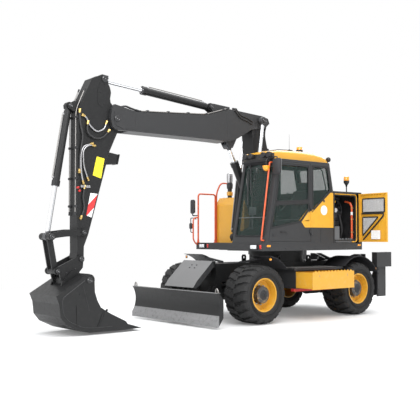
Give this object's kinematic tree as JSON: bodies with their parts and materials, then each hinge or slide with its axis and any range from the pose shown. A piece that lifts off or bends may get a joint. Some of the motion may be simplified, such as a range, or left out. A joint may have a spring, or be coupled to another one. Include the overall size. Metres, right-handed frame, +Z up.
{
  "type": "wheeled excavator",
  "caption": "Wheeled excavator with two-piece boom, bucket on a quick hitch, front blade, rear outriggers, cab, opened engine door and pulled-out tool drawer.",
  "frame": {"origin": "middle of the parked machine's ground outline, at ground level under the wheels", "axes": "+X forward, towards the blade and bucket; +Y to the machine's left; +Z up"},
  "size_m": [7.331, 3.3238, 4.261],
  "materials": {
    "amber_paint": "satin amber paint",
    "black_plastic": "matte black moulding",
    "cab_paint": "satin charcoal paint with an amber rear corner",
    "cast_dark": "dark painted casting",
    "dark_paint": "satin charcoal paint",
    "glass": "clear safety glass",
    "lamp_lens": "clear lens in a black case",
    "rail_orange": "gloss orange-red paint",
    "rod_chrome": "hard chrome",
    "seat_cloth": "woven dark grey cloth",
    "tyre_rubber": "matte moulded rubber",
    "weight_dark": "satin charcoal paint on a casting",
    "wheel_amber": "satin amber paint on the rim, dark cast hub"
  },
  "bodies": {
    "undercarriage": {"chassis_frame": "dark_paint", "axles": "cast_dark", "fenders": "dark_paint", "toolbox_housing": "dark_paint", "right_step": "dark_paint", "lashing_eyes": "dark_paint"},
    "knuckle_left": {"knuckle_left": "cast_dark"},
    "wheel_front_left": {"tyre_front_left": "tyre_rubber", "wheel_front_left": "wheel_amber"},
    "wheel_rear_left": {"tyre_rear_left": "tyre_rubber", "wheel_rear_left": "wheel_amber"},
    "knuckle_right": {"knuckle_right": "cast_dark"},
    "wheel_front_right": {"tyre_front_right": "tyre_rubber", "wheel_front_right": "wheel_amber"},
    "wheel_rear_right": {"tyre_rear_right": "tyre_rubber", "wheel_rear_right": "wheel_amber"},
    "tool_drawer": {"tool_drawer": "amber_paint"},
    "blade_upper_links": {"blade_upper_links": "dark_paint"},
    "blade_lower_links": {"blade_lower_links": "dark_paint"},
    "dozer_blade": {"dozer_blade": "dark_paint"},
    "blade_cylinder_case": {"blade_cylinder_case": "dark_paint"},
    "blade_cylinder_rod": {"blade_cylinder_rod": "rod_chrome"},
    "outrigger_leg_left": {"outrigger_leg_left": "dark_paint"},
    "outrigger_left_case": {"outrigger_left_case": "dark_paint"},
    "outrigger_left_rod": {"outrigger_left_rod": "rod_chrome"},
    "outrigger_leg_right": {"outrigger_leg_right": "dark_paint"},
    "outrigger_right_case": {"outrigger_right_case": "dark_paint"},
    "outrigger_right_rod": {"outrigger_right_rod": "rod_chrome"},
    "upper_structure": {"slewing_platform": "dark_paint", "counterweight": "weight_dark", "engine_hood": "dark_paint", "engine_block": "cast_dark", "cooler_pack": "black_plastic", "tank_housing": "amber_paint", "right_handrail": "rail_orange", "cab_shell": "cab_paint", "cab_roof": "amber_paint", "cab_glass": "glass", "seat": "seat_cloth", "mirrors": "black_plastic", "lamps": "lamp_lens"},
    "cab_door": {"cab_door": "cab_paint", "door_glass": "glass"},
    "engine_door": {"engine_door": "amber_paint"},
    "lower_boom": {"lower_boom": "dark_paint"},
    "upper_boom": {"upper_boom": "dark_paint"},
    "arm": {"arm": "dark_paint"},
    "bucket_rocker": {"bucket_rocker": "dark_paint"},
    "push_link": {"push_link": "dark_paint"},
    "bucket": {"quick_hitch": "dark_paint", "bucket": "dark_paint"},
    "lift_cylinder_case": {"lift_cylinder_case": "dark_paint"},
    "lift_cylinder_rod": {"lift_cylinder_rod": "rod_chrome"},
    "adjust_cylinder_case": {"adjust_cylinder_case": "dark_paint"},
    "adjust_cylinder_rod": {"adjust_cylinder_rod": "rod_chrome"},
    "arm_cylinder_case": {"arm_cylinder_case": "dark_paint"},
    "arm_cylinder_rod": {"arm_cylinder_rod": "rod_chrome"},
    "bucket_cylinder_case": {"bucket_cylinder_case": "dark_paint"},
    "bucket_cylinder_rod": {"bucket_cylinder_rod": "rod_chrome"}
  },
  "joints": [
    {"name": "steering", "type": "hinge", "parent": "undercarriage", "child": "knuckle_left", "pos_m": [-0.0255, 0.357, 0.525], "axis": [0, 0, 1], "range_deg": [-30, 30]},
    {"name": "steering_right", "type": "hinge", "parent": "undercarriage", "child": "knuckle_right", "pos_m": [-0.0255, -1.023, 0.525], "axis": [0, 0, 1], "range_deg": [-30, 30]},
    {"name": "roll_front_left", "type": "hinge", "parent": "knuckle_left", "child": "wheel_front_left", "pos_m": [-0.0255, 0.624, 0.525], "axis": [0, 1, 0], "continuous": true},
    {"name": "roll_rear_left", "type": "hinge", "parent": "undercarriage", "child": "wheel_rear_left", "pos_m": [-2.6255, 0.624, 0.525], "axis": [0, 1, 0], "continuous": true},
    {"name": "roll_front_right", "type": "hinge", "parent": "knuckle_right", "child": "wheel_front_right", "pos_m": [-0.0255, -1.29, 0.525], "axis": [0, 1, 0], "continuous": true},
    {"name": "roll_rear_right", "type": "hinge", "parent": "undercarriage", "child": "wheel_rear_right", "pos_m": [-2.6255, -1.29, 0.525], "axis": [0, 1, 0], "continuous": true},
    {"name": "slew", "type": "hinge", "parent": "undercarriage", "child": "upper_structure", "pos_m": [-1.5255, -0.333, 1.29], "axis": [0, 0, 1], "continuous": true},
    {"name": "drawer_slide", "type": "slide", "parent": "undercarriage", "child": "tool_drawer", "axis": [0, 1, 0], "range_m": [-0.404, 0.04]},
    {"name": "blade_lift", "type": "hinge", "parent": "undercarriage", "child": "blade_upper_links", "pos_m": [0.4195, -0.333, 1.05], "axis": [0, -1, 0], "range_deg": [-8, 45]},
    {"name": "blade_lower_link_swing", "type": "hinge", "parent": "undercarriage", "child": "blade_lower_links", "pos_m": [0.4195, -0.333, 0.59], "axis": [0, -1, 0], "range_deg": [-8, 45]},
    {"name": "blade_keep_upright", "type": "hinge", "parent": "blade_upper_links", "child": "dozer_blade", "pos_m": [0.8995, -0.333, 0.6], "axis": [0, -1, 0], "range_deg": [-45, 8]},
    {"name": "blade_cylinder_swing", "type": "hinge", "parent": "undercarriage", "child": "blade_cylinder_case", "pos_m": [0.4395, -0.333, 0.9], "axis": [0, -1, 0], "range_deg": [-7.6, 42]},
    {"name": "blade_cylinder_stroke", "type": "slide", "parent": "blade_cylinder_case", "child": "blade_cylinder_rod", "axis": [0.6239, 0, -0.7815], "range_m": [-0.089, 0.018]},
    {"name": "outrigger_left", "type": "hinge", "parent": "undercarriage", "child": "outrigger_leg_left", "pos_m": [-3.4255, 0.467, 0.39], "axis": [-1, 0, 0], "range_deg": [0, 90]},
    {"name": "outrigger_left_swing", "type": "hinge", "parent": "undercarriage", "child": "outrigger_left_case", "pos_m": [-3.4255, 0.277, 1.13], "axis": [1, 0, 0], "range_deg": [-3.2, 0.1]},
    {"name": "outrigger_left_stroke", "type": "slide", "parent": "outrigger_left_case", "child": "outrigger_left_rod", "axis": [0, 0.5169, -0.8561], "range_m": [-0.002, 0.361]},
    {"name": "outrigger_right", "type": "hinge", "parent": "undercarriage", "child": "outrigger_leg_right", "pos_m": [-3.4255, -1.133, 0.39], "axis": [1, 0, 0], "range_deg": [0, 90]},
    {"name": "outrigger_right_swing", "type": "hinge", "parent": "undercarriage", "child": "outrigger_right_case", "pos_m": [-3.4255, -0.943, 1.13], "axis": [-1, 0, 0], "range_deg": [-3.2, 0.1]},
    {"name": "outrigger_right_stroke", "type": "slide", "parent": "outrigger_right_case", "child": "outrigger_right_rod", "axis": [0, -0.5169, -0.8561], "range_m": [-0.002, 0.361]},
    {"name": "cab_door_swing", "type": "hinge", "parent": "upper_structure", "child": "cab_door", "pos_m": [-1.2195, 0.918, 1.47], "axis": [0, 0, 1], "range_deg": [0, 90]},
    {"name": "engine_door_swing", "type": "hinge", "parent": "upper_structure", "child": "engine_door", "pos_m": [-2.6105, 0.933, 1.5], "axis": [0, 0, -1], "range_deg": [-20, 84]},
    {"name": "lower_boom_lift", "type": "hinge", "parent": "upper_structure", "child": "lower_boom", "pos_m": [-1.2255, -0.333, 1.75], "axis": [0, 1, 0], "range_deg": [-5, 50]},
    {"name": "upper_boom_adjust", "type": "hinge", "parent": "lower_boom", "child": "upper_boom", "pos_m": [-0.9155, -0.333, 3.83], "axis": [0, -1, 0], "range_deg": [-8, 50]},
    {"name": "arm_swing", "type": "hinge", "parent": "upper_boom", "child": "arm", "pos_m": [2.4185, -0.333, 3.535], "axis": [0, 1, 0], "range_deg": [-50, 16]},
    {"name": "bucket_tilt", "type": "hinge", "parent": "arm", "child": "bucket", "pos_m": [3.0675, -0.333, 1.198], "axis": [0, -1, 0], "range_deg": [-90, 55]},
    {"name": "lift_cylinder_swing", "type": "hinge", "parent": "upper_structure", "child": "lift_cylinder_case", "pos_m": [-0.6055, -0.333, 1.55], "axis": [0, -1, 0], "range_deg": [-48.1, 4.9]},
    {"name": "lift_cylinder_stroke", "type": "slide", "parent": "lift_cylinder_case", "child": "lift_cylinder_rod", "axis": [-0.1347, 0, 0.9909], "range_m": [-0.554, 0.058]},
    {"name": "adjust_cylinder_swing", "type": "hinge", "parent": "lower_boom", "child": "adjust_cylinder_case", "pos_m": [-0.8755, -0.333, 2.06], "axis": [0, -1, 0], "range_deg": [-0.7, 3.8]},
    {"name": "adjust_cylinder_stroke", "type": "slide", "parent": "adjust_cylinder_case", "child": "adjust_cylinder_rod", "axis": [0.4614, 0, 0.8872], "range_m": [-0.119, 0.733]},
    {"name": "arm_cylinder_swing", "type": "hinge", "parent": "upper_boom", "child": "arm_cylinder_case", "pos_m": [0.2505, -0.333, 3.997], "axis": [0, -1, 0], "range_deg": [-0.5, 1.2]},
    {"name": "arm_cylinder_stroke", "type": "slide", "parent": "arm_cylinder_case", "child": "arm_cylinder_rod", "axis": [0.9967, 0, 0.0811], "range_m": [-0.581, 0.188]},
    {"name": "rocker_swing", "type": "hinge", "parent": "arm", "child": "bucket_rocker", "pos_m": [3.0165, -0.333, 1.626], "axis": [0, -1, 0], "range_deg": [-64, 40]},
    {"name": "push_link_swing", "type": "hinge", "parent": "bucket", "child": "push_link", "pos_m": [3.4875, -0.333, 1.012], "axis": [0, -1, 0], "range_deg": [-39, 62]},
    {"name": "bucket_cylinder_swing", "type": "hinge", "parent": "arm", "child": "bucket_cylinder_case", "pos_m": [3.2295, -0.333, 3.68], "axis": [0, -1, 0], "range_deg": [-8.3, 5.1]},
    {"name": "bucket_cylinder_stroke", "type": "slide", "parent": "bucket_cylinder_case", "child": "bucket_cylinder_rod", "axis": [0.1691, 0, -0.9856], "range_m": [-0.32, 0.522]}
  ],
  "couplings": [
    {"joint": "steering_right", "follows": "steering", "ratio": 1},
    {"joint": "blade_lower_link_swing", "follows": "blade_lift", "ratio": 1},
    {"joint": "blade_keep_upright", "follows": "blade_lift", "ratio": -1},
    {"joint": "blade_cylinder_swing", "follows": "blade_lift", "ratio": 0.92979},
    {"joint": "blade_cylinder_stroke", "follows": "blade_lift", "m_per_rad": -0.11009},
    {"joint": "outrigger_left_swing", "follows": "outrigger_left", "ratio": -0.03358},
    {"joint": "outrigger_left_stroke", "follows": "outrigger_left", "m_per_rad": 0.22816},
    {"joint": "outrigger_right_swing", "follows": "outrigger_right", "ratio": -0.03358},
    {"joint": "outrigger_right_stroke", "follows": "outrigger_right", "m_per_rad": 0.22816},
    {"joint": "lift_cylinder_swing", "follows": "lower_boom_lift", "ratio": -0.95907},
    {"joint": "lift_cylinder_stroke", "follows": "lower_boom_lift", "m_per_rad": -0.63151},
    {"joint": "adjust_cylinder_swing", "follows": "upper_boom_adjust", "ratio": 0.07249},
    {"joint": "adjust_cylinder_stroke", "follows": "upper_boom_adjust", "m_per_rad": 0.83673},
    {"joint": "arm_cylinder_swing", "follows": "arm_swing", "ratio": -0.02015},
    {"joint": "arm_cylinder_stroke", "follows": "arm_swing", "m_per_rad": 0.66346},
    {"joint": "rocker_swing", "follows": "bucket_tilt", "ratio": 0.69793},
    {"joint": "push_link_swing", "follows": "bucket_tilt", "ratio": -0.67608},
    {"joint": "bucket_cylinder_swing", "follows": "bucket_tilt", "ratio": 0.09016},
    {"joint": "bucket_cylinder_stroke", "follows": "bucket_tilt", "m_per_rad": -0.33093}
  ]
}
